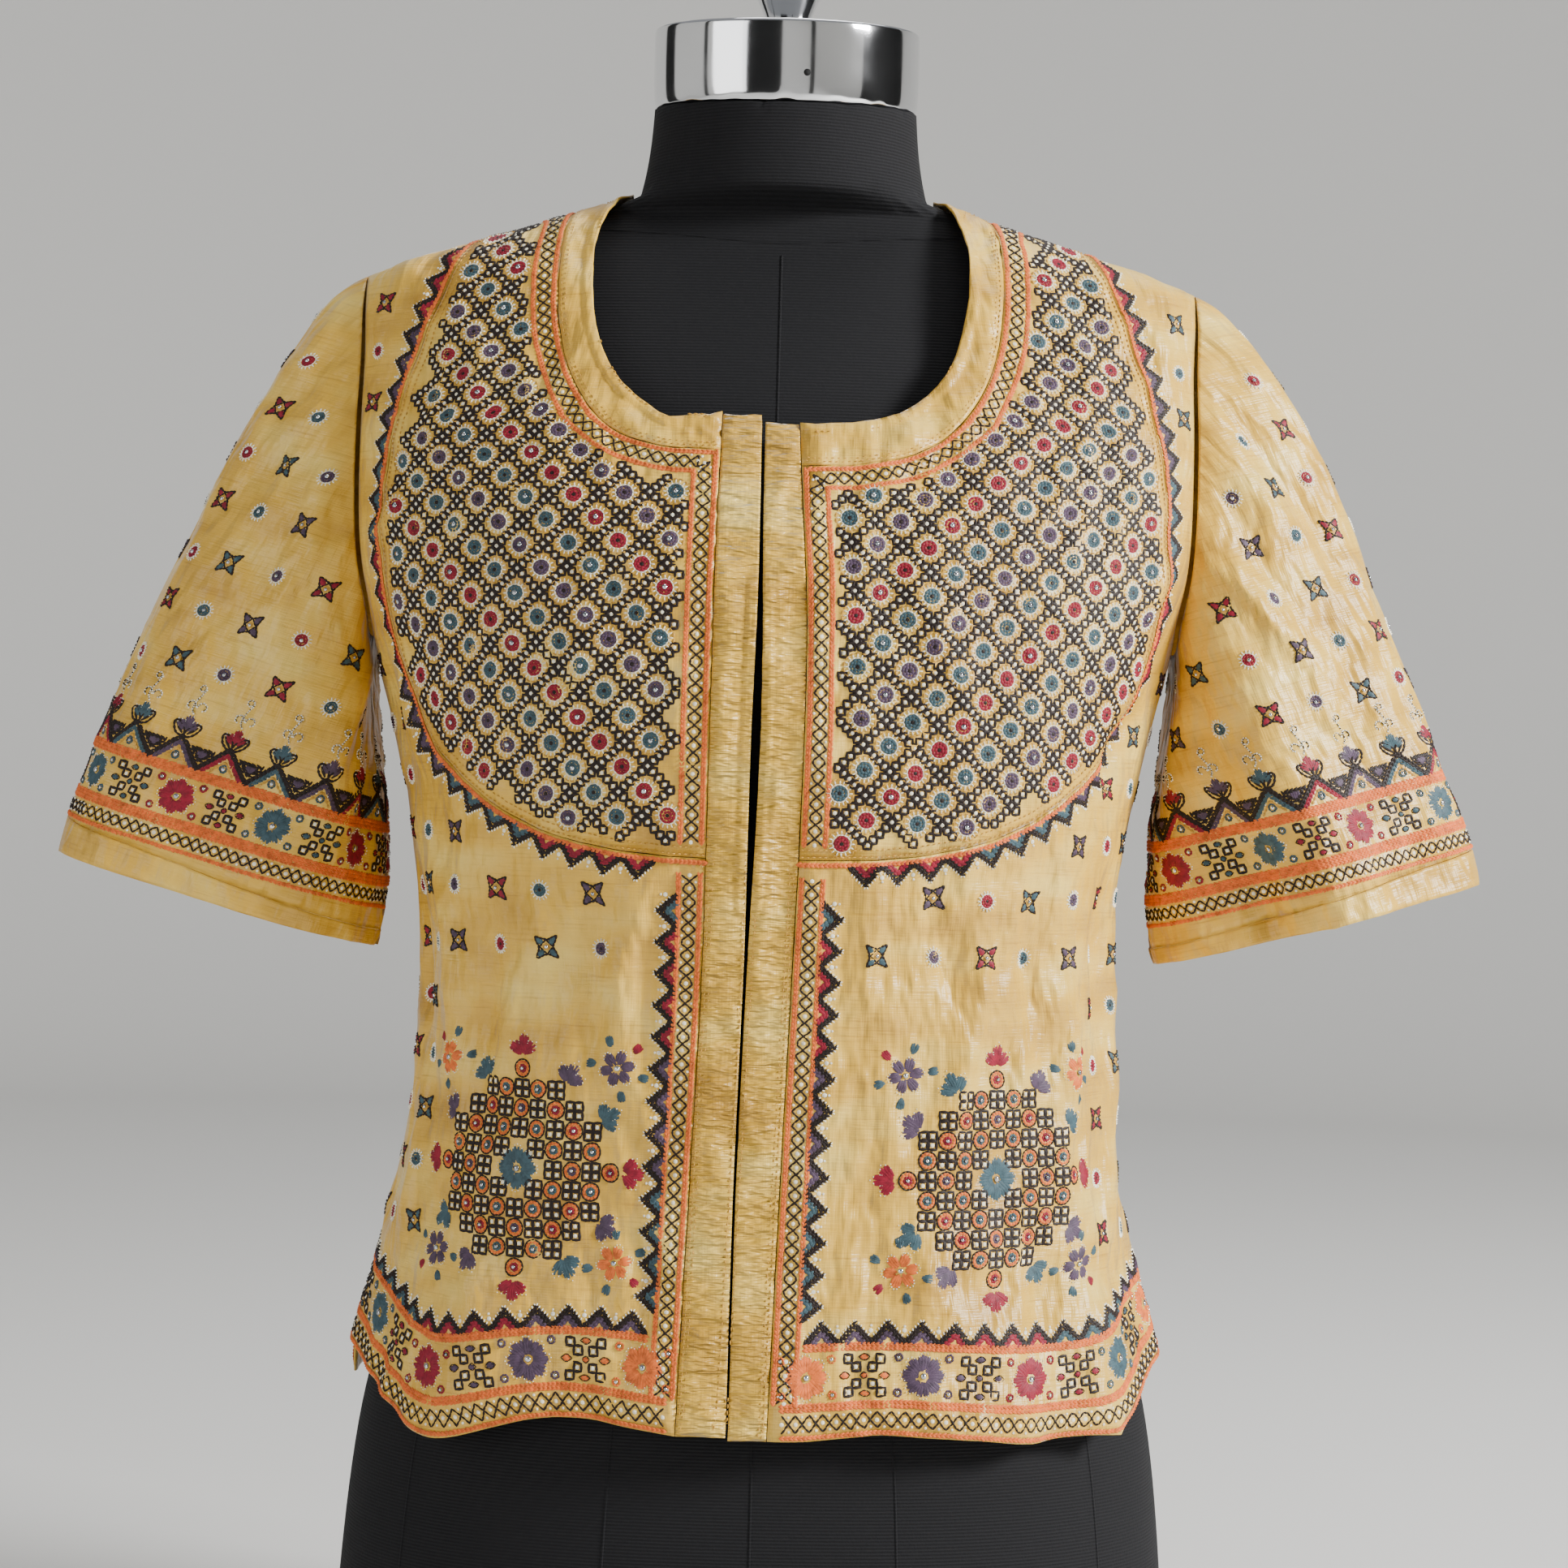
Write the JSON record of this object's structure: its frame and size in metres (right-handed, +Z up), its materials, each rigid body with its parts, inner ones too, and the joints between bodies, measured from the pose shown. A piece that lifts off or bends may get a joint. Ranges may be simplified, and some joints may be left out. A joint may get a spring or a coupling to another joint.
{
  "type": "choli blouse on a dress form",
  "caption": "Open-front choli blouse with a deep round neck, set-in breast panels and flared elbow sleeves, worn by a limbless dress form with a metal neck cap.",
  "frame": {"origin": "centre of the form's flat base, on the surface that it stands on", "axes": "+Z up, the blouse's front faces -Y, the wearer's left is at +X"},
  "size_m": [0.6257, 0.2625, 0.7967],
  "materials": {
    "raw_silk": "slubby raw silk with a soft sheen",
    "black_jersey": "fine ribbed jersey",
    "chrome_plate": "polished",
    "thread_brown": "silk thread",
    "thread_orange": "silk thread",
    "thread_crimson": "silk thread",
    "thread_teal": "silk thread",
    "thread_plum": "silk thread",
    "thread_cream": "cotton thread",
    "thread_gold": "silk thread",
    "mirror_glass": "polished"
  },
  "bodies": {
    "root": {"front_right": "raw_silk", "front_left": "raw_silk", "yoke_right": "raw_silk", "yoke_left": "raw_silk", "placket_right": "raw_silk", "placket_left": "raw_silk", "neck_band_right": "raw_silk", "neck_band_left": "raw_silk", "neck_band_back": "raw_silk", "back": "raw_silk", "sleeve_right": "raw_silk", "sleeve_left": "raw_silk", "cuff_band_right": "raw_silk", "cuff_band_left": "raw_silk", "form_torso": "black_jersey", "neck_cap": "chrome_plate", "finial": "chrome_plate"}
  },
  "joints": []
}
